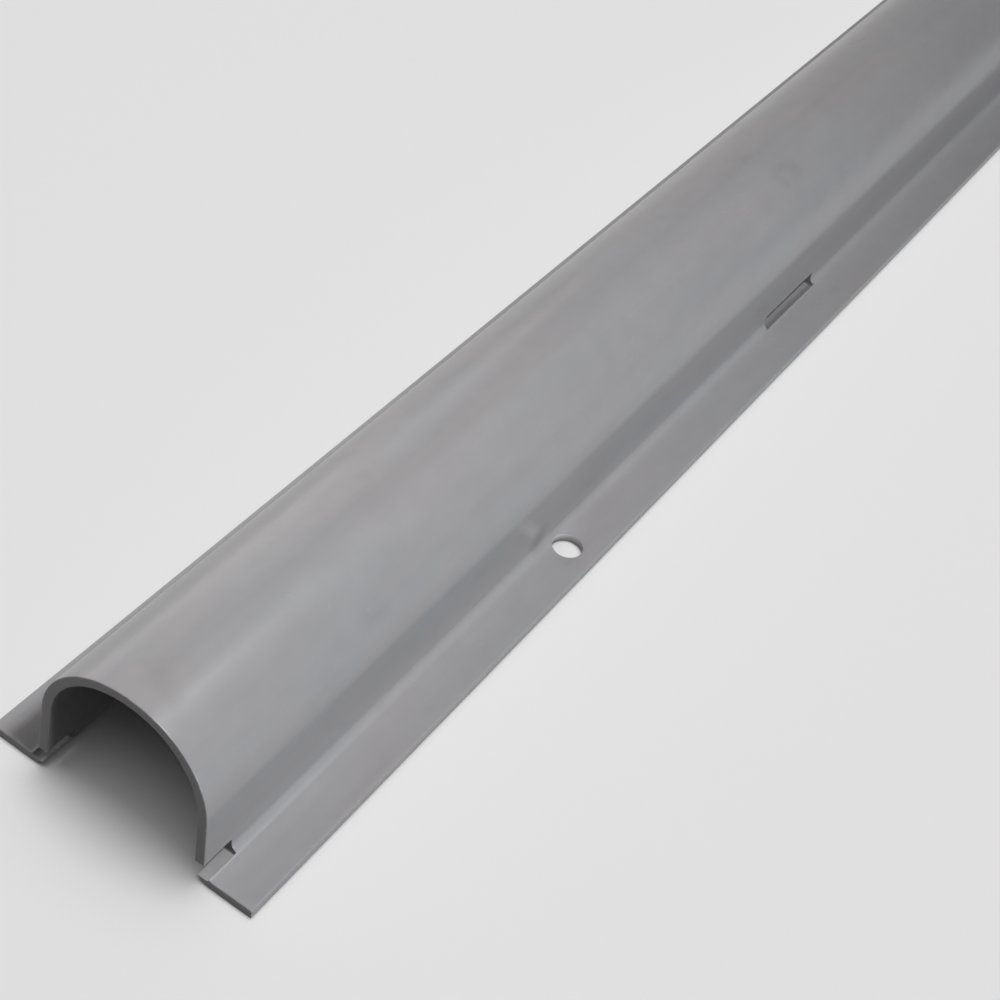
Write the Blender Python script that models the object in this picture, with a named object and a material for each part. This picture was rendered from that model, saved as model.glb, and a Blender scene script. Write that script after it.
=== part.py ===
"""Cable raceway: one length of extruded grey PVC U-guard, lying on its two flanges.

The channel runs along Y, and its -Y end is the one that is sawn through a strap slot. Z = 0 is the floor.
The section is one wall of even thickness: an arch, two legs that open a little, two bends and two flanges.
"""
import math

import bmesh
import bpy
from mathutils import Matrix, Vector

# Stock
LENGTH = 1.524              # sold in 5 ft lengths
WALL = 0.0037               # even wall all round the section
OVERALL_WIDTH = 0.108       # over both flanges

# Arch
BORE_RADIUS = 0.0298        # clears a 2 in conduit
ARCH_CENTRE_Z = 0.0295
SPLAY = math.radians(2.5)   # the legs open a little towards the flanges
BEND_RADIUS = 0.0036        # crease between leg and flange, on the upper side
EDGE_RADIUS = 0.0005        # softened outer edge of a flange

# Strap slots, punched through both legs just above the flanges
SLOT_LENGTH = 0.0445
SLOT_FLOOR_Z = 0.0030       # just under the upper side of the flange
SLOT_TOP_Z = 0.0092
SLOT_CORNER = 0.0009
SLOT_INNER_X = 0.0270       # the punch clears the leg and bites into the bend
SLOT_OUTER_X = 0.0367
SLOT_PITCH = 0.4064         # 16 in
FIRST_SLOT = -0.0087        # from the sawn end, so that the saw cuts through the first slot

# Screw holes in the flanges, between every other pair of slots
HOLE_DIAMETER = 0.0120
HOLE_X = 0.0422
FIRST_HOLE = 0.2020         # from the sawn end
HOLE_PITCH = 2 * SLOT_PITCH

# Facets of the round stretches
HALF_ARCH_STEPS = 22
BEND_STEPS = 7
EDGE_STEPS = 3
CORNER_STEPS = 3
HOLE_SIDES = 32
CREASE_ANGLE = math.radians(32)
WELD_DISTANCE = 0.00001

# Finish
PVC_GREY = (0.36, 0.36, 0.365, 1.0)
PVC_ROUGHNESS = 0.42


def clear_scene():
    """Start from an empty file."""
    for obj in list(bpy.data.objects):
        bpy.data.objects.remove(obj, do_unlink=True)


def make_collection(name):
    """Return a new collection in the scene."""
    collection = bpy.data.collections.new(name)
    bpy.context.scene.collection.children.link(collection)
    return collection


def make_material():
    """Light grey extruded PVC with a satin skin."""
    material = bpy.data.materials.new("grey_pvc")
    material.use_nodes = True
    shader = material.node_tree.nodes["Principled BSDF"]
    shader.inputs["Base Color"].default_value = PVC_GREY
    shader.inputs["Roughness"].default_value = PVC_ROUGHNESS
    shader.inputs["Metallic"].default_value = 0.0
    material.diffuse_color = PVC_GREY
    return material


def arc(centre, radius, start, end, steps):
    """Points on an arc in the section plane, from angle start to angle end."""
    return [
        Vector((
            centre.x + radius * math.cos(start + (end - start) * i / steps),
            centre.y + radius * math.sin(start + (end - start) * i / steps),
        ))
        for i in range(steps + 1)
    ]


def bend_centre():
    """Centre of the bend between the right leg and its flange."""
    under_radius = BEND_RADIUS + WALL
    x = (BORE_RADIUS + under_radius + (ARCH_CENTRE_Z - under_radius) * math.sin(SPLAY)) / math.cos(SPLAY)
    return Vector((x, under_radius))


def flange_edge():
    """Rounded outer edge of the right flange, from its top to its underside."""
    x = OVERALL_WIDTH / 2 - EDGE_RADIUS
    upper = arc(Vector((x, WALL - EDGE_RADIUS)), EDGE_RADIUS, math.pi / 2, 0.0, EDGE_STEPS)
    lower = arc(Vector((x, EDGE_RADIUS)), EDGE_RADIUS, 0.0, -math.pi / 2, EDGE_STEPS)
    return upper + lower


def right_outline():
    """Right half of the section: outer skin from the crown to the flange, then the inner skin back up."""
    arch = Vector((0.0, ARCH_CENTRE_Z))
    bend = bend_centre()
    outer_arch = arc(arch, BORE_RADIUS + WALL, math.pi / 2, SPLAY, HALF_ARCH_STEPS)
    outer_bend = arc(bend, BEND_RADIUS, math.pi + SPLAY, 1.5 * math.pi, BEND_STEPS)
    inner_bend = arc(bend, BEND_RADIUS + WALL, 1.5 * math.pi, math.pi + SPLAY, BEND_STEPS)
    inner_arch = arc(arch, BORE_RADIUS, SPLAY, math.pi / 2, HALF_ARCH_STEPS)
    return outer_arch + outer_bend + flange_edge() + inner_bend + inner_arch


def section_outline():
    """Closed outline of the whole section. The halves share their two points on the middle plane."""
    right = right_outline()
    left = [Vector((-point.x, point.y)) for point in reversed(right)]
    return right[:-1] + left[:-1]


def add_extrusion(name, outline, length, placing, collection):
    """Extrude a flat closed outline to a solid of the given length, centred, and place it."""
    curve = bpy.data.curves.new(name + "_outline", "CURVE")
    curve.dimensions = "2D"
    curve.fill_mode = "BOTH"
    curve.extrude = length / 2
    spline = curve.splines.new("POLY")
    spline.points.add(len(outline) - 1)
    for point, co in zip(spline.points, outline):
        point.co = (co.x, co.y, 0.0, 1.0)
    spline.use_cyclic_u = True
    profile = bpy.data.objects.new(name + "_profile", curve)
    collection.objects.link(profile)
    profile.matrix_world = placing
    bpy.context.view_layer.update()

    mesh = bpy.data.meshes.new_from_object(profile.evaluated_get(bpy.context.evaluated_depsgraph_get()))
    solid = bpy.data.objects.new(name, mesh)
    collection.objects.link(solid)
    solid.matrix_world = profile.matrix_world.copy()
    bpy.data.objects.remove(profile, do_unlink=True)
    bpy.data.curves.remove(curve)

    bm = bmesh.new()
    bm.from_mesh(mesh)
    bmesh.ops.remove_doubles(bm, verts=bm.verts, dist=WELD_DISTANCE)
    bmesh.ops.recalc_face_normals(bm, faces=bm.faces)
    bm.to_mesh(mesh)
    bm.free()
    mesh.name = name
    return solid


def hide_cutter(cutter):
    """Keep a cutter out of the finished part."""
    cutter.hide_render = True
    cutter.display_type = "WIRE"


def slot_outline():
    """Side view of a strap slot: a long rectangle with small round corners."""
    half_length = SLOT_LENGTH / 2 - SLOT_CORNER
    half_height = (SLOT_TOP_Z - SLOT_FLOOR_Z) / 2 - SLOT_CORNER
    corners = ((1, 1, 0.0), (-1, 1, 0.5), (-1, -1, 1.0), (1, -1, 1.5))
    outline = []
    for side, level, turn in corners:
        centre = Vector((side * half_length, level * half_height))
        outline += arc(centre, SLOT_CORNER, turn * math.pi, (turn + 0.5) * math.pi, CORNER_STEPS)
    return outline


def row_along(first, pitch):
    """Y positions of a row of cutters, the first one at the given distance from the -Y end."""
    row = []
    y = first - LENGTH / 2
    while y < LENGTH / 2:
        row.append(y)
        y += pitch
    return row


def add_slot_cutters(side, collection):
    """Cutters for the row of strap slots in one leg."""
    x = side * (SLOT_INNER_X + SLOT_OUTER_X) / 2
    z = (SLOT_FLOOR_Z + SLOT_TOP_Z) / 2
    along_x = Matrix.Rotation(math.radians(90), 4, "Z") @ Matrix.Rotation(math.radians(90), 4, "X")
    cutters = []
    for y in row_along(FIRST_SLOT, SLOT_PITCH):
        placing = Matrix.Translation((x, y, z)) @ along_x
        depth = SLOT_OUTER_X - SLOT_INNER_X
        cutters.append(add_extrusion("slot_cutter", slot_outline(), depth, placing, collection))
    return cutters


def add_hole_cutters(side, collection):
    """Cutters for the row of screw holes in one flange."""
    radius = HOLE_DIAMETER / 2
    cutters = []
    for y in row_along(FIRST_HOLE, HOLE_PITCH):
        mesh = bpy.data.meshes.new("hole_cutter")
        bm = bmesh.new()
        bmesh.ops.create_cone(
            bm, cap_ends=True, segments=HOLE_SIDES, radius1=radius, radius2=radius, depth=3 * WALL
        )
        bm.to_mesh(mesh)
        bm.free()
        cutter = bpy.data.objects.new("hole_cutter", mesh)
        cutter.location = (side * HOLE_X, y, WALL / 2)
        collection.objects.link(cutter)
        cutters.append(cutter)
    return cutters


def cut(target, cutters):
    """Take each cutter out of the target."""
    for cutter in cutters:
        hide_cutter(cutter)
        modifier = target.modifiers.new(cutter.name, "BOOLEAN")
        modifier.operation = "DIFFERENCE"
        modifier.solver = "EXACT"
        modifier.object = cutter


def shade_skin(solid):
    """Shade the curved skin smooth and keep the sawn and punched edges crisp."""
    for polygon in solid.data.polygons:
        polygon.use_smooth = True
    solid.data.set_sharp_from_angle(angle=CREASE_ANGLE)


def build():
    """Make the raceway and its cutters."""
    clear_scene()
    parts = make_collection("raceway")
    cutting = make_collection("cutters")
    upright = Matrix.Rotation(math.radians(90), 4, "X")
    raceway = add_extrusion("raceway_channel", section_outline(), LENGTH, upright, parts)
    raceway.data.materials.clear()
    raceway.data.materials.append(make_material())
    shade_skin(raceway)
    for side in (1, -1):
        cut(raceway, add_slot_cutters(side, cutting))
        cut(raceway, add_hole_cutters(side, cutting))


build()
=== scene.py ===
import math

import bmesh
import bpy
from mathutils import Matrix, Vector, noise


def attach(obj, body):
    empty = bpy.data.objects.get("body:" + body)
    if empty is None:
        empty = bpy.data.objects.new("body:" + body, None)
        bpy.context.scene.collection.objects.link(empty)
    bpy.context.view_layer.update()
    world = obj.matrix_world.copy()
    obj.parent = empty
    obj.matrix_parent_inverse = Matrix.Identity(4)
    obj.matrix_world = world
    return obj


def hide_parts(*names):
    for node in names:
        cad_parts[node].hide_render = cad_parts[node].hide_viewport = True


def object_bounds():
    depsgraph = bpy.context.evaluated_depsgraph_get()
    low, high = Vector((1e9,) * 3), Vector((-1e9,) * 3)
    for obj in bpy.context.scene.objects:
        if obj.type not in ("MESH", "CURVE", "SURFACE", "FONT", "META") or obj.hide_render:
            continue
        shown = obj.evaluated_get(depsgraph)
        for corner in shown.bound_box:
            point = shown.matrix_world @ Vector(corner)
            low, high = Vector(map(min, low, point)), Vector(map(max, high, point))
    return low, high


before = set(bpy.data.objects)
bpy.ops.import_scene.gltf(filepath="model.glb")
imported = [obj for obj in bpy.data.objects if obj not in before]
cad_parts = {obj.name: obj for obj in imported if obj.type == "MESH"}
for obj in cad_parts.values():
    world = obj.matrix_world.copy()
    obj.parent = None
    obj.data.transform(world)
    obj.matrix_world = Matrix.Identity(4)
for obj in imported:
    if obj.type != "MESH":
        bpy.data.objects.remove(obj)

cad_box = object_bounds()
HALF_WIDTH = cad_box[1][0]
CROWN_Z = cad_box[1][2]
NEAR_END_Y = cad_box[0][1]
FAR_END_Y = cad_box[1][1]
LENGTH = FAR_END_Y - NEAR_END_Y

# Section
WALL = 0.0037
BORE_RADIUS = 0.0298
SKIN_RADIUS = BORE_RADIUS + WALL
ARCH_CENTRE_Z = CROWN_Z - SKIN_RADIUS
SPLAY = math.radians(2.5)
BEND_RADIUS = 0.0036
UNDER_RADIUS = BEND_RADIUS + WALL
LEG_SPREAD = (ARCH_CENTRE_Z - UNDER_RADIUS) * math.sin(SPLAY)
BEND_X = (BORE_RADIUS + UNDER_RADIUS + LEG_SPREAD) / math.cos(SPLAY)
EDGE_RADIUS = 0.0005

# Strap slots and screw holes. The first of each row is given from the near end.
SLOT_LENGTH = 0.0445
SLOT_FLOOR_Z = 0.0030
SLOT_TOP_Z = 0.0092
SLOT_CORNER = 0.0009
SLOT_INNER_X = 0.0270
SLOT_OUTER_X = 0.0367
SLOT_PITCH = 0.4064
FIRST_SLOT = -0.0087
HOLE_RADIUS = 0.0060
HOLE_X = 0.0422
FIRST_HOLE = 0.2020
HOLE_PITCH = 2 * SLOT_PITCH

# Facets of the skin. These counts keep its lines clear of the edges of the slots.
EDGE_STEPS = 4
FLANGE_STEPS = 13
BEND_STEPS = 9
LEG_STEPS = 17
HALF_ARCH_STEPS = 48
RINGS_PER_PITCH = 26
HOLE_SIDES = 64
CORNER_STEPS = 4
CREASE_ANGLE = math.radians(40)

# Sawn ends and softened punched edges
SAWN_RADIUS = 0.0003
SAWN_STEPS = 3
SAWN_LEAD = (0.0008, 0.0016, 0.0032, 0.0064)    # extra rings behind the sawn edge
SAW_WANDER = 0.00035        # how deep the uneven cut goes
SAW_MEAN = 0.45             # share of the depth without waves, and what the waves add to it
SAW_WAVES = (40, 0.7)       # waves a metre, and their share
SAW_RIPPLES = (420, 0.35)
RIM_WIDTH = 0.00015
RIM_STEPS = 2
RIM_ANGLE = math.radians(50)
SLIVER = 0.00004            # points closer than this are one point

# Material slots, and how to tell the faces that a tool cut
SKIN_SLOT = 0
CUT_SLOT = 1
SLOT_END_SHADE_SLOT = 2
PAINTED_LIGHT_HOLE_SLOT = 3
FACING = 0.5                # a face points along an axis if its normal has this much of it

# Plastic
PVC_WARM = (0.368, 0.357, 0.364, 1.0)
PVC_COOL = (0.358, 0.358, 0.371, 1.0)
PVC_CUT = (0.366, 0.360, 0.370)
# Painted light: the walls of the screw holes are pale, lightening the shade inside the holes
PVC_DRILLED_PAINTED_LIGHT = (0.640, 0.630, 0.640)
# Painted shade: a dark colour on the end walls of the slots, standing in for their deep shade
PVC_SLOT_END_SHADE = (0.150, 0.150, 0.156)
PVC_ROUGHNESS = 0.30
CUT_ROUGHNESS = 0.55
# Painted shade: a darker band in the outer corner of each slot's floor, beside the step
SLOT_SHADE_WIDTH = 0.0032        # in the outer corner of a slot's floor
SLOT_SHADE_SOFTNESS = 0.0018
SLOT_SHADE_DEPTH = 0.34
RELIEF = 0.0001             # what a height of 1 stands for in the relief

# Darker patches on the skin: across, distance from the near end, height, radius, darkening. The first is a
# painted reflection of the screw hole beside it; the others are soft darker patches
DARK_PATCHES_AND_PAINTED_REFLECTION = (
    (0.0343, 0.1916, 0.0102, 0.0092, 0.26),
    (0.0340, 0.2300, 0.0200, 0.0300, 0.05),
    (-0.0060, 0.1250, 0.0625, 0.0060, 0.05),
)

# Camera, placed from the middle of the near end at floor level
CAMERA_PLACE = Vector((0.22766, -0.28512, 0.52122))
CAMERA_HEADING = math.radians(24.034)
CAMERA_PITCH = math.radians(44.026)
CAMERA_ROLL = math.radians(-14.423)
CAMERA_LENS = 69.94

# Studio. The raceway and the floor have lights of their own.
FLOOR_SIZE = 40.0
FLOOR_COLOUR = (0.90, 0.90, 0.90, 1.0)
FLOOR_ROUGHNESS = 0.9
FLOOR_LIGHT = 1.3           # even, from above
FLOOR_LIGHT_SPREAD = math.radians(70)
POOL_LIGHT = 250.0          # wide and soft, around the near part
POOL_LIGHT_PLACE = Vector((0.0, NEAR_END_Y + 0.4, 4.0))
POOL_LIGHT_RADIUS = 1.0
POOL_LIGHT_CONE = math.radians(80)
WORLD_STRENGTH = 0.050

# Lights on the near part: name, heading and height in degrees, place along, (width, height), power, colour
LIGHT_DISTANCE = 1.0
LIGHTS = (
    ("right_low", 0, 7, 0.14, (0.40, 0.16), 2.32, (0.88, 0.94, 1.0)),
    ("key", 0, 68, 0.01, (0.12, 0.12), 5.50, (1.0, 1.0, 1.0)),
    ("back_right", 30, 64, 0.0, (0.20, 0.20), 1.20, (1.0, 1.0, 1.0)),
    ("glint", 64, 59, 0.0, (0.12, 0.12), 0.42, (1.0, 1.0, 1.0)),
    ("back", 122, 10, 0.25, (0.80, 0.25), 0.22, (1.0, 0.97, 0.96)),
    ("back_left", 135, 30, 0.05, (0.40, 0.40), 0.67, (1.0, 0.97, 0.96)),
    ("back_left_low", 150, 12, 0.05, (0.45, 0.30), 0.70, (1.0, 0.97, 0.96)),
    ("left", 180, 30, 0.0, (0.40, 0.40), 2.24, (1.0, 0.97, 0.96)),
    ("front", 270, 20, 0.0, (0.50, 0.50), 0.60, (1.0, 1.0, 1.0)),
)

# Lights on the far part: name, heading and height in degrees, power
FAR_LIGHT_DISTANCE = 1.8
FAR_LIGHT_ALONG = 1.25      # past the middle, for the part that the near lights don't reach
FAR_LIGHT_CONE = math.radians(38)
FAR_LIGHT_RADIUS = 0.2
FAR_LIGHTS = (
    ("far_right", 0, 60, 90.0),
    ("far_left", 180, 40, 60.0),
)


def turned(centre, radius, start, end, steps, facing):
    """Points on an arc, each with its normal. Facing is -1 where the skin faces the arc's centre."""
    row = []
    for i in range(steps + 1):
        angle = start + (end - start) * i / steps
        ray = Vector((math.cos(angle), math.sin(angle)))
        row.append((centre + radius * ray, facing * ray))
    return row


def straight(start, end, steps):
    """Points between two ends, without the ends, with the normal of the start."""
    return [(start[0].lerp(end[0], i / steps), start[1]) for i in range(1, steps)]


def half_skin(edge, bent, arched):
    """One skin of the right half, from the outer edge of the flange to the crown."""
    flange = straight(edge[-1], bent[0], FLANGE_STEPS)
    leg = straight(bent[-1], arched[0], LEG_STEPS)
    return edge + flange + bent + leg + arched


def mirrored(row):
    """The same skin on the left, from the crown to the edge of the flange."""
    left = []
    for place, normal in reversed(row):
        left.append((Vector((-place.x, place.y)), Vector((-normal.x, normal.y))))
    return left


def section_loop():
    """Closed outline: the upper skin from right to left, then the lower skin back from left to right."""
    quarter = math.pi / 2
    edge_x = HALF_WIDTH - EDGE_RADIUS
    bend = Vector((BEND_X, UNDER_RADIUS))
    arch = Vector((0.0, ARCH_CENTRE_Z))
    upper = half_skin(
        turned(Vector((edge_x, WALL - EDGE_RADIUS)), EDGE_RADIUS, 0.0, quarter, EDGE_STEPS, 1),
        turned(bend, BEND_RADIUS, 3 * quarter, math.pi + SPLAY, BEND_STEPS, -1),
        turned(arch, SKIN_RADIUS, SPLAY, quarter, HALF_ARCH_STEPS, 1),
    )
    lower = half_skin(
        turned(Vector((edge_x, EDGE_RADIUS)), EDGE_RADIUS, 0.0, -quarter, EDGE_STEPS, 1),
        turned(bend, UNDER_RADIUS, 3 * quarter, math.pi + SPLAY, BEND_STEPS, 1),
        turned(arch, BORE_RADIUS, SPLAY, quarter, HALF_ARCH_STEPS, -1),
    )
    upper += mirrored(upper)[1:]
    lower += mirrored(lower)[1:]
    return upper + lower[::-1]


def ring_places():
    """Distance from the near end and inset of each ring. The rings miss the ends of the slots."""
    rounded = []
    for i in range(SAWN_STEPS + 1):
        angle = math.pi / 2 * i / SAWN_STEPS
        rounded.append((SAWN_RADIUS * (1 - math.cos(angle)), SAWN_RADIUS * (1 - math.sin(angle))))
    step = SLOT_PITCH / RINGS_PER_PITCH
    clear = SAWN_LEAD[-1] + step / 2
    count = math.ceil(LENGTH / step)
    regular = [FIRST_SLOT + (i + 0.5) * step for i in range(count + 2)]
    places = rounded + [(lead, 0.0) for lead in SAWN_LEAD]
    places += [(along, 0.0) for along in regular if clear < along < LENGTH - clear]
    places += [(LENGTH - lead, 0.0) for lead in reversed(SAWN_LEAD)]
    places += [(LENGTH - depth, inset) for depth, inset in reversed(rounded)]
    return places


def saw_wave(x, z, waves, seed):
    """Share that one size of wave adds to the depth of the cut at a point of the section."""
    per_metre, share = waves
    return share * noise.noise(Vector((x * per_metre, z * per_metre, seed)))


def saw_depth(x, z, end):
    """How far the saw wandered into an end at a point of the section. Each end has its own cut."""
    waves = saw_wave(x, z, SAW_WAVES, 3.0 * end)
    ripples = saw_wave(x, z, SAW_RIPPLES, 7.0 * end)
    return SAW_WANDER * max(0.0, SAW_MEAN + waves + ripples)


def ring_points(loop, along, inset):
    """Points of one ring. Near an end they follow the saw's cut."""
    points = []
    nearest = min(along, LENGTH - along)
    follow = max(0.0, 1.0 - nearest / SAWN_LEAD[1])
    end = 1 if along < LENGTH / 2 else -1
    for place, normal in loop:
        flat = place - inset * normal
        shift = end * follow * saw_depth(flat.x, flat.y, end) if follow > 0 else 0.0
        points.append(Vector((flat.x, NEAR_END_Y + along + shift, flat.y)))
    return points


def make_skin(loop):
    """Closed mesh of the uncut length: rings along the skin, and a strip across the wall at each end."""
    bm = bmesh.new()
    rings = []
    for along, inset in ring_places():
        rings.append([bm.verts.new(point) for point in ring_points(loop, along, inset)])
    count = len(loop)
    for near, far in zip(rings, rings[1:]):
        for i in range(count):
            j = (i + 1) % count
            bm.faces.new((near[i], near[j], far[j], far[i]))
    for ring in (rings[0], rings[-1]):
        for i in range(count // 2 - 1):
            k = count - 1 - i
            bm.faces.new((ring[i], ring[i + 1], ring[k - 1], ring[k]))
    bmesh.ops.recalc_face_normals(bm, faces=bm.faces)
    return bm


def add_object(name, bm):
    """Turn a bmesh into an object in the scene."""
    mesh = bpy.data.meshes.new(name)
    bm.to_mesh(mesh)
    bm.free()
    obj = bpy.data.objects.new(name, mesh)
    bpy.context.scene.collection.objects.link(obj)
    return obj


def add_prism(bm, start, end):
    """Closed prism between two equal outlines."""
    lows = [bm.verts.new(point) for point in start]
    highs = [bm.verts.new(point) for point in end]
    bm.faces.new(lows[::-1])
    bm.faces.new(highs)
    for i in range(len(lows)):
        j = (i + 1) % len(lows)
        bm.faces.new((lows[i], lows[j], highs[j], highs[i]))


def row_along(first, pitch):
    """Places along Y of a row that starts at a distance from the near end."""
    count = math.floor((LENGTH - first) / pitch) + 1
    return [NEAR_END_Y + first + i * pitch for i in range(count)]


def slot_outline():
    """Side view of a strap slot around its own middle: a long rectangle with small round corners."""
    half_length = SLOT_LENGTH / 2 - SLOT_CORNER
    half_height = (SLOT_TOP_Z - SLOT_FLOOR_Z) / 2 - SLOT_CORNER
    outline = []
    for turn, (side, level) in enumerate(((1, 1), (-1, 1), (-1, -1), (1, -1))):
        centre = Vector((side * half_length, level * half_height))
        start = turn * math.pi / 2
        corner = turned(centre, SLOT_CORNER, start, start + math.pi / 2, CORNER_STEPS, 1)
        outline += [place for place, _ in corner]
    return outline


def hole_outline(x, y):
    """Points around a screw hole."""
    outline = []
    for i in range(HOLE_SIDES):
        angle = math.tau * i / HOLE_SIDES
        outline.append((x + HOLE_RADIUS * math.cos(angle), y + HOLE_RADIUS * math.sin(angle)))
    return outline


def add_cutters():
    """All the slots and holes as one mesh of separate prisms."""
    bm = bmesh.new()
    middle_z = (SLOT_FLOOR_Z + SLOT_TOP_Z) / 2
    for side in (1, -1):
        for y in row_along(FIRST_SLOT, SLOT_PITCH):
            outline = [(y + place.x, middle_z + place.y) for place in slot_outline()]
            inner = [(side * SLOT_INNER_X, *point) for point in outline]
            outer = [(side * SLOT_OUTER_X, *point) for point in outline]
            add_prism(bm, inner, outer)
        for y in row_along(FIRST_HOLE, HOLE_PITCH):
            rim = hole_outline(side * HOLE_X, y)
            add_prism(bm, [(*point, -WALL) for point in rim], [(*point, 2 * WALL) for point in rim])
    bmesh.ops.recalc_face_normals(bm, faces=bm.faces)
    return add_object("cutters", bm)


def cut_out(target, cutters):
    """Take the cutters out of the target and delete them."""
    modifier = target.modifiers.new("cut", "BOOLEAN")
    modifier.operation = "DIFFERENCE"
    modifier.solver = "EXACT"
    modifier.object = cutters
    graph = bpy.context.evaluated_depsgraph_get()
    mesh = bpy.data.meshes.new_from_object(target.evaluated_get(graph))
    target.modifiers.clear()
    target.data = mesh
    bpy.data.objects.remove(cutters)


def soften_rims(target):
    """Narrow bevel along the punched edges."""
    bm = bmesh.new()
    bm.from_mesh(target.data)
    bmesh.ops.remove_doubles(bm, verts=bm.verts, dist=SLIVER)
    sharp = [edge for edge in bm.edges if edge.calc_face_angle(0) > RIM_ANGLE]
    bmesh.ops.bevel(
        bm,
        geom=sharp,
        offset=RIM_WIDTH,
        segments=RIM_STEPS,
        profile=0.5,
        affect="EDGES",
        loop_slide=False,
    )
    bm.to_mesh(target.data)
    bm.free()


def shade_skin(target):
    """Shade the skin smooth, keep its cut edges crisp, and mark the faces that a tool cut."""
    mesh = target.data
    mesh.shade_smooth()
    mesh.set_sharp_from_angle(angle=CREASE_ANGLE)
    for polygon in mesh.polygons:
        polygon.material_index = tool_mark(polygon.center, polygon.normal)


def from_nearest(along, first, pitch):
    """Distance along Y from the middle of the nearest cutter of a row."""
    return (along - first + pitch / 2) % pitch - pitch / 2


def tool_mark(place, normal):
    """Material slot of a face: skin, a sawn end or slot floor, a slot's end wall, or a hole's wall."""
    along = place.y - NEAR_END_Y
    across = abs(place.x)
    if min(along, LENGTH - along) < SAW_WANDER + SAWN_RADIUS and abs(normal.y) > FACING:
        return CUT_SLOT
    from_slot = abs(from_nearest(along, FIRST_SLOT, SLOT_PITCH))
    in_slot_row = SLOT_INNER_X < across < SLOT_OUTER_X
    in_slot_height = SLOT_FLOOR_Z - RIM_WIDTH < place.z < SLOT_TOP_Z + RIM_WIDTH
    if in_slot_row and in_slot_height and from_slot < SLOT_LENGTH / 2 + RIM_WIDTH:
        # The end walls of the slots get a dark colour that paints their shade
        if abs(normal.y) > FACING:
            return SLOT_END_SHADE_SLOT
        return CUT_SLOT if abs(normal.z) > FACING else SKIN_SLOT
    # The walls of the holes get a pale colour that paints light into their shade
    from_hole = math.hypot(across - HOLE_X, from_nearest(along, FIRST_HOLE, HOLE_PITCH))
    return PAINTED_LIGHT_HOLE_SLOT if from_hole < HOLE_RADIUS + SLIVER else SKIN_SLOT


class Nodes:
    """Short calls that add the nodes of one material."""

    def __init__(self, name):
        self.material = bpy.data.materials.new(name)
        self.material.use_nodes = True
        self.tree = self.material.node_tree
        self.shader = self.tree.nodes["Principled BSDF"]
        coordinates = self.tree.nodes.new("ShaderNodeTexCoord")
        self.place = coordinates.outputs["Object"]

    def plug(self, value, socket):
        """Link another node's output, or set a plain value."""
        if isinstance(value, bpy.types.NodeSocket):
            self.tree.links.new(value, socket)
        else:
            socket.default_value = value

    def math(self, operation, first, second=0.0):
        node = self.tree.nodes.new("ShaderNodeMath")
        node.operation = operation
        self.plug(first, node.inputs[0])
        self.plug(second, node.inputs[1])
        return node.outputs[0]

    def sum(self, *values):
        total = values[0]
        for value in values[1:]:
            total = self.math("ADD", total, value)
        return total

    def stretched(self, per_metre, turn=0.0):
        """The place on the object in axes turned about Z, with so many cells a metre along each."""
        node = self.tree.nodes.new("ShaderNodeMapping")
        node.vector_type = "TEXTURE"
        node.inputs["Rotation"].default_value = (0.0, 0.0, turn)
        node.inputs["Scale"].default_value = [1.0 / cells for cells in per_metre]
        self.tree.links.new(self.place, node.inputs["Vector"])
        return node.outputs[0]

    def distance(self, point):
        """How far the place on the object is from a point."""
        node = self.tree.nodes.new("ShaderNodeVectorMath")
        node.operation = "DISTANCE"
        self.tree.links.new(self.place, node.inputs[0])
        node.inputs[1].default_value = point
        return node.outputs["Value"]

    def noise(self, vector, detail=2.0, roughness=0.5, scale=1.0):
        node = self.tree.nodes.new("ShaderNodeTexNoise")
        node.inputs["Scale"].default_value = scale
        node.inputs["Detail"].default_value = detail
        node.inputs["Roughness"].default_value = roughness
        self.tree.links.new(vector, node.inputs["Vector"])
        return node.outputs[0]

    def ramp(self, value, low, high, start=0.0, end=1.0):
        """Smooth step of a value from one range to another."""
        node = self.tree.nodes.new("ShaderNodeMapRange")
        node.interpolation_type = "SMOOTHSTEP"
        names = ("Value", "From Min", "From Max", "To Min", "To Max")
        for name, given in zip(names, (value, low, high, start, end)):
            self.plug(given, node.inputs[name])
        return node.outputs[0]

    def mix(self, factor, first, second):
        """Mix of two colours."""
        node = self.tree.nodes.new("ShaderNodeMix")
        node.data_type = "RGBA"
        self.plug(factor, node.inputs[0])
        self.plug(first, node.inputs[6])
        self.plug(second, node.inputs[7])
        return node.outputs[2]

    def scaled(self, colour, value):
        """A colour times a value."""
        node = self.tree.nodes.new("ShaderNodeVectorMath")
        node.operation = "SCALE"
        self.plug(colour, node.inputs[0])
        self.plug(value, node.inputs["Scale"])
        return node.outputs[0]

    def bump(self, height, distance):
        node = self.tree.nodes.new("ShaderNodeBump")
        node.inputs["Strength"].default_value = 1.0
        node.inputs["Distance"].default_value = distance
        self.tree.links.new(height, node.inputs["Height"])
        self.tree.links.new(node.outputs[0], self.shader.inputs["Normal"])


def centred(nodes, value, amount):
    """A noise value as a swing of the given size about zero."""
    return nodes.math("MULTIPLY", nodes.math("SUBTRACT", value, 0.5), amount)


def crests(nodes, per_metre, turn, threshold):
    """Sparse fine marks: the highest crests of a noise that is stretched along the marks."""
    crest = nodes.noise(nodes.stretched(per_metre, turn), detail=1.0)
    return nodes.ramp(crest, threshold, threshold + 0.05)


def dark_patch_and_reflection_mask(nodes):
    """Soft darker patches at the listed places; the first is a painted reflection of a screw hole."""
    mask = 0.0
    for across, along, height, radius, darkening in DARK_PATCHES_AND_PAINTED_REFLECTION:
        distance = nodes.distance((across, NEAR_END_Y + along, height))
        mask = nodes.math("ADD", mask, nodes.ramp(distance, 0.0, radius, darkening, 0.0))
    return mask


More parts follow.
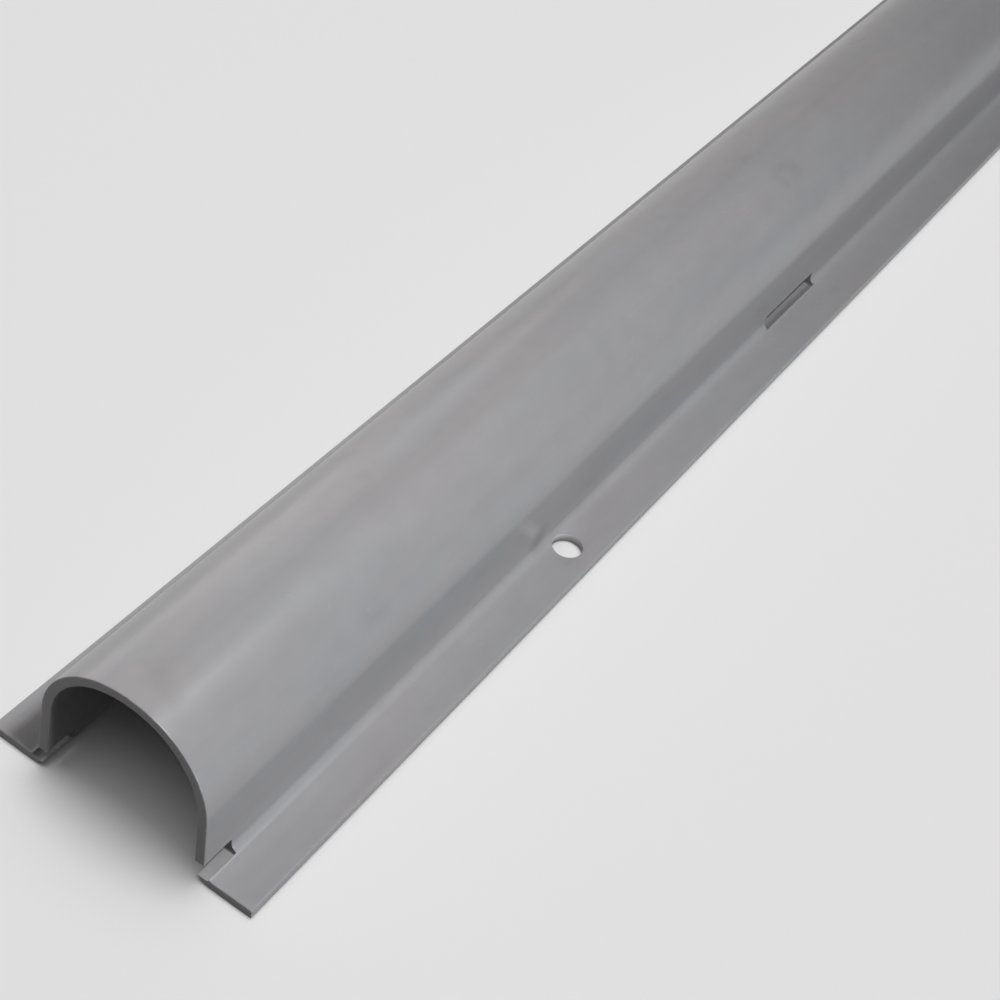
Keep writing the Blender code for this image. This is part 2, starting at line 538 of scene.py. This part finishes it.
def make_skin_material():
    """Extruded grey PVC: satin, faintly streaked along its length, mottled and a little scuffed."""
    nodes = Nodes("grey_pvc_skin")
    draw_lines = nodes.noise(nodes.stretched((620, 2.2, 620)), detail=3.0)
    bands = nodes.noise(nodes.stretched((85, 2.6, 85)), detail=3.0)
    mottle = nodes.noise(nodes.stretched((42, 24, 42)), detail=2.0)
    blotches = nodes.noise(nodes.stretched((150, 85, 150)), detail=2.0)
    tint = nodes.noise(nodes.stretched((70, 14, 70)), detail=3.0)
    grain = nodes.noise(nodes.stretched((1900, 1500, 1900)), detail=2.0)
    waves = nodes.noise(nodes.stretched((45, 11, 45)), detail=1.0)
    smudges = nodes.ramp(nodes.noise(nodes.stretched((34, 26, 34)), detail=3.0), 0.62, 0.78)
    patches = nodes.ramp(nodes.noise(nodes.stretched((22, 7, 22)), detail=2.0), 0.46, 0.62)
    lengthwise = crests(nodes, (900, 16, 900), math.radians(2.5), 0.72)
    scuffs = crests(nodes, (620, 150, 620), math.radians(-38), 0.72)
    marks = nodes.math("MULTIPLY", nodes.sum(nodes.math("MULTIPLY", lengthwise, 0.3), scuffs), patches)
    # Darker patches, the first a painted reflection of a screw hole
    dark_patches_and_reflection = dark_patch_and_reflection_mask(nodes)

    value = nodes.sum(
        1.0,
        centred(nodes, draw_lines, 0.05),
        centred(nodes, bands, 0.14),
        centred(nodes, mottle, 0.07),
        centred(nodes, blotches, 0.11),
        centred(nodes, grain, 0.015),
        nodes.math("MULTIPLY", marks, 0.08),
        nodes.math("MULTIPLY", smudges, -0.10),
        nodes.math("MULTIPLY", dark_patches_and_reflection, -1.0),
    )
    grey = nodes.mix(nodes.ramp(tint, 0.35, 0.65), PVC_WARM, PVC_COOL)
    nodes.tree.links.new(nodes.scaled(grey, value), nodes.shader.inputs["Base Color"])

    rough = nodes.sum(
        PVC_ROUGHNESS,
        centred(nodes, mottle, 0.10),
        centred(nodes, bands, 0.06),
        centred(nodes, grain, 0.02),
        nodes.math("MULTIPLY", smudges, 0.05),
        dark_patches_and_reflection,
    )
    nodes.tree.links.new(rough, nodes.shader.inputs["Roughness"])
    height = nodes.sum(
        centred(nodes, waves, 0.9),
        centred(nodes, bands, 0.10),
        centred(nodes, draw_lines, 0.05),
        centred(nodes, grain, 0.020),
    )
    nodes.bump(height, RELIEF)
    return nodes.material


def slot_painted_shade(nodes):
    """Mask of the painted shade in the outer corner of each slot's floor, except where a saw cut the slot.
    """
    split = nodes.tree.nodes.new("ShaderNodeSeparateXYZ")
    nodes.tree.links.new(nodes.place, split.inputs[0])
    x, y, z = split.outputs
    inner = SLOT_OUTER_X - SLOT_SHADE_WIDTH
    cornered = nodes.ramp(nodes.math("ABSOLUTE", x), inner, inner + SLOT_SHADE_SOFTNESS)
    low = nodes.math("LESS_THAN", z, SLOT_FLOOR_Z + SLOT_SHADE_SOFTNESS)
    whole_slots = nodes.math("GREATER_THAN", y, NEAR_END_Y + SLOT_LENGTH)
    return nodes.math("MULTIPLY", nodes.math("MULTIPLY", cornered, low), whole_slots)


def make_cut_material(name, colour, shade=None):
    """Bare cut PVC, matt, with the marks of the tool. A shade mask darkens it with painted shade."""
    nodes = Nodes(name)
    teeth = nodes.noise(nodes.stretched((260, 260, 1500), math.radians(8)), detail=3.0)
    smear = nodes.noise(nodes.stretched((900, 900, 900)), detail=4.0, roughness=0.65)
    value = nodes.sum(1.0, centred(nodes, teeth, 0.16), centred(nodes, smear, 0.18))
    if shade:
        # Painted shade where the mask is set
        value = nodes.math("SUBTRACT", value, nodes.math("MULTIPLY", shade(nodes), SLOT_SHADE_DEPTH))
    nodes.tree.links.new(nodes.scaled(colour, value), nodes.shader.inputs["Base Color"])
    rough = nodes.sum(CUT_ROUGHNESS, centred(nodes, smear, 0.2))
    nodes.tree.links.new(rough, nodes.shader.inputs["Roughness"])
    nodes.bump(nodes.sum(centred(nodes, teeth, 1.0), centred(nodes, smear, 0.6)), RELIEF)
    return nodes.material


def add_camera():
    """Camera at the photograph's viewing angle."""
    data = bpy.data.cameras.new("camera")
    data.lens = CAMERA_LENS
    data.sensor_width = 36.0
    data.clip_start = 0.01
    camera = bpy.data.objects.new("camera", data)
    bpy.context.scene.collection.objects.link(camera)
    right = Vector((math.cos(CAMERA_HEADING), math.sin(CAMERA_HEADING), 0.0))
    onward = Vector((-math.sin(CAMERA_HEADING), math.cos(CAMERA_HEADING), 0.0))
    ahead = math.cos(CAMERA_PITCH) * onward - math.sin(CAMERA_PITCH) * Vector((0.0, 0.0, 1.0))
    below = ahead.cross(right)
    across = math.cos(CAMERA_ROLL) * right + math.sin(CAMERA_ROLL) * below
    up = math.sin(CAMERA_ROLL) * right - math.cos(CAMERA_ROLL) * below
    turn = Matrix((across, up, -ahead)).transposed().to_4x4()
    camera.matrix_world = Matrix.Translation(CAMERA_PLACE + Vector((0.0, NEAR_END_Y, 0.0))) @ turn
    bpy.context.scene.camera = camera


def group(name, obj):
    """Collection that tells lights what to shine on."""
    collection = bpy.data.collections.new(name)
    collection.objects.link(obj)
    return collection


def add_lamp(data, lit):
    """Object for a light that shines on one group alone."""
    lamp = bpy.data.objects.new(data.name, data)
    bpy.context.scene.collection.objects.link(lamp)
    lamp.light_linking.receiver_collection = lit
    return lamp


def aim(lamp, heading, height, along, distance):
    """Place a lamp so far from a point along the length, facing it. Heading runs from +X to +Y."""
    turn = math.radians(heading)
    rise = math.radians(height)
    away = Vector((math.cos(rise) * math.cos(turn), math.cos(rise) * math.sin(turn), math.sin(rise)))
    lamp.location = Vector((0.0, NEAR_END_Y + along, 0.0)) + distance * away
    lamp.rotation_euler = (-away).to_track_quat("-Z", "Y").to_euler()


def add_light(lit, name, heading, height, along, size, power, colour):
    """Soft light on the near part. Its size is its width and its height."""
    data = bpy.data.lights.new(name, "AREA")
    data.shape = "RECTANGLE"
    data.size, data.size_y = size
    data.energy = power
    data.color = colour
    aim(add_lamp(data, lit), heading, height, along, LIGHT_DISTANCE)


def add_far_light(lit, name, heading, height, power):
    """Soft spotlight on the far part."""
    data = bpy.data.lights.new(name, "SPOT")
    data.energy = power
    data.shadow_soft_size = FAR_LIGHT_RADIUS
    data.spot_size = FAR_LIGHT_CONE
    data.spot_blend = 1.0
    aim(add_lamp(data, lit), heading, height, FAR_LIGHT_ALONG, FAR_LIGHT_DISTANCE)


def add_floor_lights(lit):
    """Even light from above, and a wide soft pool around the near part."""
    even = bpy.data.lights.new("above", "SUN")
    even.energy = FLOOR_LIGHT
    even.angle = FLOOR_LIGHT_SPREAD
    add_lamp(even, lit)
    pool = bpy.data.lights.new("pool", "SPOT")
    pool.energy = POOL_LIGHT
    pool.shadow_soft_size = POOL_LIGHT_RADIUS
    pool.spot_size = POOL_LIGHT_CONE
    pool.spot_blend = 1.0
    add_lamp(pool, lit).location = POOL_LIGHT_PLACE


def add_floor():
    """Plain pale floor."""
    bm = bmesh.new()
    bmesh.ops.create_grid(bm, x_segments=1, y_segments=1, size=FLOOR_SIZE)
    floor = add_object("floor", bm)
    material = bpy.data.materials.new("floor")
    material.use_nodes = True
    shader = material.node_tree.nodes["Principled BSDF"]
    shader.inputs["Base Color"].default_value = FLOOR_COLOUR
    shader.inputs["Roughness"].default_value = FLOOR_ROUGHNESS
    floor.data.materials.append(material)
    floor.visible_diffuse = False
    return floor


def add_world():
    """Dim even surroundings."""
    world = bpy.data.worlds.new("studio")
    world.use_nodes = True
    background = world.node_tree.nodes["Background"]
    background.inputs["Color"].default_value = (1.0, 1.0, 1.0, 1.0)
    background.inputs["Strength"].default_value = WORLD_STRENGTH
    bpy.context.scene.world = world


def add_raceway():
    """The detailed skin that is shown in place of the plain solid."""
    raceway = add_object("raceway", make_skin(section_loop()))
    cut_out(raceway, add_cutters())
    soften_rims(raceway)
    raceway.data.materials.clear()
    raceway.data.materials.append(make_skin_material())
    raceway.data.materials.append(make_cut_material("grey_pvc_cut", PVC_CUT, slot_painted_shade))
    raceway.data.materials.append(make_cut_material("grey_pvc_painted_end_shade", PVC_SLOT_END_SHADE))
    raceway.data.materials.append(make_cut_material("grey_pvc_drilled_painted_light", PVC_DRILLED_PAINTED_LIGHT))
    shade_skin(raceway)
    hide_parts("raceway_channel")
    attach(raceway, "root")
    return raceway


plastic = group("plastic", add_raceway())
ground = group("ground", add_floor())
add_camera()
add_world()
for setting in LIGHTS:
    add_light(plastic, *setting)
for setting in FAR_LIGHTS:
    add_far_light(plastic, *setting)
add_floor_lights(ground)
bpy.context.scene.view_settings.view_transform = "Standard"
